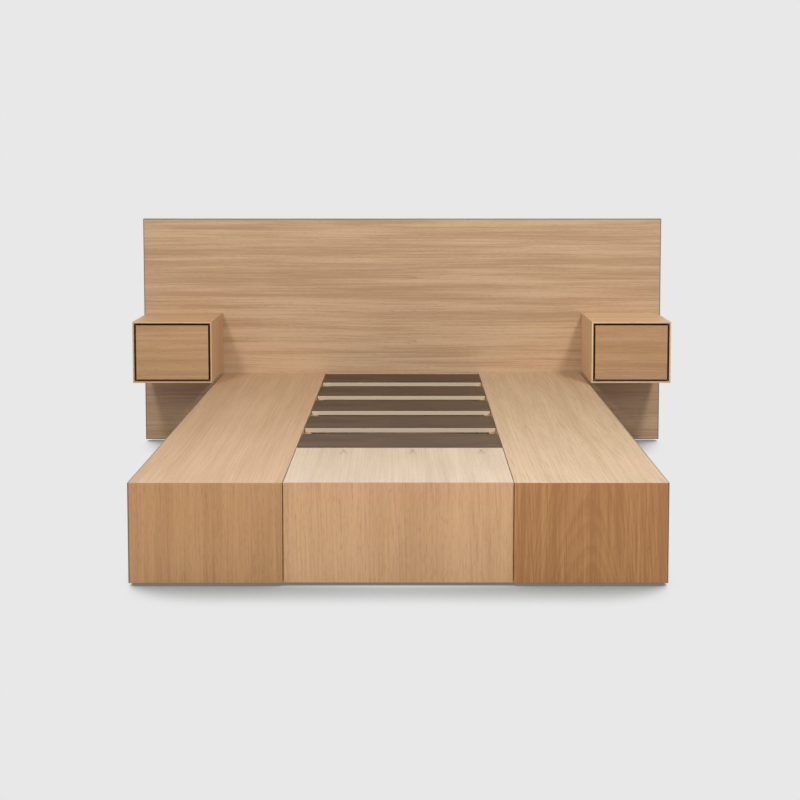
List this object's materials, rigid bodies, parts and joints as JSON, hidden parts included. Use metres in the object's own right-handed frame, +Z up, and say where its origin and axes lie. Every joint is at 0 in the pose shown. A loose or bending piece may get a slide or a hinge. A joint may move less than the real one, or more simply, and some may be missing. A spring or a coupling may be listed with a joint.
{
  "type": "platform bed with storage drawers",
  "caption": "Low oak-veneered platform bed: side storage cases with handle-less drawers, a foot bridge, wide slats, and a wide headboard carrying floating nightstands.",
  "frame": {"origin": "bottom centre of the whole bed's bounding box, on the floor", "axes": "+X to the right seen from the foot end, along the headboard; +Y from the foot towards the headboard; +Z up"},
  "size_m": [2.22, 2.07, 0.965],
  "materials": {
    "oak_veneered_board": "clear matt lacquer over oak veneer",
    "film_faced_plywood": "dark brown phenolic film with a fine satin mesh, pale cut plywood edges",
    "birch_plywood": "clear matt lacquer",
    "solid_oak": "planed and oiled",
    "zinc_plated_steel": "rolled sheet and turned fasteners, bright zinc plating",
    "glide_plastic": "moulded black nylon"
  },
  "bodies": {
    "frame": {"headboard": "oak_veneered_board", "headboard_bolts": "zinc_plated_steel", "bridge_top": "oak_veneered_board", "bridge_front": "oak_veneered_board", "bridge_frame": "solid_oak", "slat_ledgers": "solid_oak", "glides": "glide_plastic", "case_rails": "zinc_plated_steel", "slat_1": "film_faced_plywood", "slat_2": "film_faced_plywood", "slat_3": "film_faced_plywood", "slat_4": "film_faced_plywood", "slat_5": "film_faced_plywood", "left_top": "oak_veneered_board", "left_foot_end": "oak_veneered_board", "left_head_end": "oak_veneered_board", "left_base": "oak_veneered_board", "left_inner_side": "oak_veneered_board", "left_divider": "oak_veneered_board", "right_top": "oak_veneered_board", "right_foot_end": "oak_veneered_board", "right_head_end": "oak_veneered_board", "right_base": "oak_veneered_board", "right_inner_side": "oak_veneered_board", "right_divider": "oak_veneered_board", "left_nightstand_case": "oak_veneered_board", "left_nightstand_back": "oak_veneered_board", "right_nightstand_case": "oak_veneered_board", "right_nightstand_back": "oak_veneered_board"},
    "left_foot_drawer": {"left_foot_front": "oak_veneered_board", "left_foot_box": "birch_plywood", "left_foot_bottom": "birch_plywood", "left_foot_drawer_rails": "zinc_plated_steel"},
    "left_foot_mid_slides": {"left_foot_mid_rails": "zinc_plated_steel"},
    "left_head_drawer": {"left_head_front": "oak_veneered_board", "left_head_box": "birch_plywood", "left_head_bottom": "birch_plywood", "left_head_drawer_rails": "zinc_plated_steel"},
    "left_head_mid_slides": {"left_head_mid_rails": "zinc_plated_steel"},
    "left_night_drawer": {"left_night_front": "oak_veneered_board", "left_night_box": "birch_plywood", "left_night_bottom": "birch_plywood", "left_night_drawer_rails": "zinc_plated_steel"},
    "left_night_mid_slides": {"left_night_mid_rails": "zinc_plated_steel"},
    "right_foot_drawer": {"right_foot_front": "oak_veneered_board", "right_foot_box": "birch_plywood", "right_foot_bottom": "birch_plywood", "right_foot_drawer_rails": "zinc_plated_steel"},
    "right_foot_mid_slides": {"right_foot_mid_rails": "zinc_plated_steel"},
    "right_head_drawer": {"right_head_front": "oak_veneered_board", "right_head_box": "birch_plywood", "right_head_bottom": "birch_plywood", "right_head_drawer_rails": "zinc_plated_steel"},
    "right_head_mid_slides": {"right_head_mid_rails": "zinc_plated_steel"},
    "right_night_drawer": {"right_night_front": "oak_veneered_board", "right_night_box": "birch_plywood", "right_night_bottom": "birch_plywood", "right_night_drawer_rails": "zinc_plated_steel"},
    "right_night_mid_slides": {"right_night_mid_rails": "zinc_plated_steel"}
  },
  "joints": [
    {"name": "left_foot_drawer_slide", "type": "slide", "parent": "frame", "child": "left_foot_drawer", "axis": [-1, 0, 0], "range_m": [0, 0.37]},
    {"name": "left_foot_mid_slide", "type": "slide", "parent": "frame", "child": "left_foot_mid_slides", "axis": [-1, 0, 0], "range_m": [0, 0.185]},
    {"name": "left_head_drawer_slide", "type": "slide", "parent": "frame", "child": "left_head_drawer", "axis": [-1, 0, 0], "range_m": [0, 0.37]},
    {"name": "left_head_mid_slide", "type": "slide", "parent": "frame", "child": "left_head_mid_slides", "axis": [-1, 0, 0], "range_m": [0, 0.185]},
    {"name": "left_night_drawer_slide", "type": "slide", "parent": "frame", "child": "left_night_drawer", "axis": [0, -1, 0], "range_m": [0, 0.27]},
    {"name": "left_night_mid_slide", "type": "slide", "parent": "frame", "child": "left_night_mid_slides", "axis": [0, -1, 0], "range_m": [0, 0.135]},
    {"name": "right_foot_drawer_slide", "type": "slide", "parent": "frame", "child": "right_foot_drawer", "axis": [1, 0, 0], "range_m": [0, 0.37]},
    {"name": "right_foot_mid_slide", "type": "slide", "parent": "frame", "child": "right_foot_mid_slides", "axis": [1, 0, 0], "range_m": [0, 0.185]},
    {"name": "right_head_drawer_slide", "type": "slide", "parent": "frame", "child": "right_head_drawer", "axis": [1, 0, 0], "range_m": [0, 0.37]},
    {"name": "right_head_mid_slide", "type": "slide", "parent": "frame", "child": "right_head_mid_slides", "axis": [1, 0, 0], "range_m": [0, 0.185]},
    {"name": "right_night_drawer_slide", "type": "slide", "parent": "frame", "child": "right_night_drawer", "axis": [0, -1, 0], "range_m": [0, 0.27]},
    {"name": "right_night_mid_slide", "type": "slide", "parent": "frame", "child": "right_night_mid_slides", "axis": [0, -1, 0], "range_m": [0, 0.135]}
  ],
  "couplings": [
    {"joint": "left_foot_mid_slide", "follows": "left_foot_drawer_slide", "ratio": 0.5},
    {"joint": "left_head_mid_slide", "follows": "left_head_drawer_slide", "ratio": 0.5},
    {"joint": "left_night_mid_slide", "follows": "left_night_drawer_slide", "ratio": 0.5},
    {"joint": "right_foot_mid_slide", "follows": "right_foot_drawer_slide", "ratio": 0.5},
    {"joint": "right_head_mid_slide", "follows": "right_head_drawer_slide", "ratio": 0.5},
    {"joint": "right_night_mid_slide", "follows": "right_night_drawer_slide", "ratio": 0.5}
  ]
}
